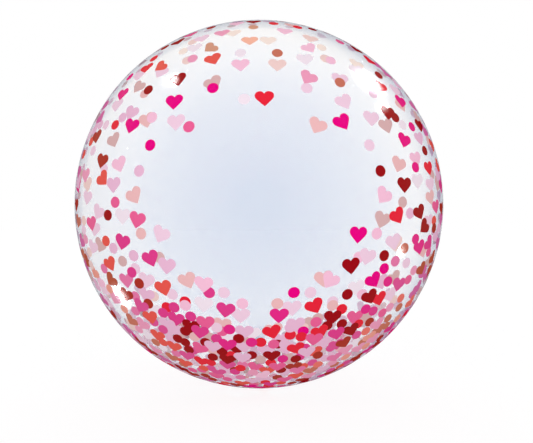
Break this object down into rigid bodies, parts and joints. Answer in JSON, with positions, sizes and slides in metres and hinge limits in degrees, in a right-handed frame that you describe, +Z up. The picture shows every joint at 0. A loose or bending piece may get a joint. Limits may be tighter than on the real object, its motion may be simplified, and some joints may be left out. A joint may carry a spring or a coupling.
{
  "type": "confetti balloon",
  "caption": "Round balloon of clear stretch film printed with hearts and dots, lying on a small flat spot, its knotted neck and flat tail behind.",
  "frame": {"origin": "under the ball's centre, on the flat spot that it rests on", "axes": "+Z up, -Y towards the clear window of the print's front, +Y towards the neck and tail, +X to the right seen from the front"},
  "size_m": [0.61, 0.61, 0.6074],
  "materials": {
    "printed_film": "clear, very glossy stretch film with a faint blue cast, printed with opaque hearts and dots in pinks and reds"
  },
  "bodies": {
    "root": {"balloon": "printed_film"}
  },
  "joints": []
}
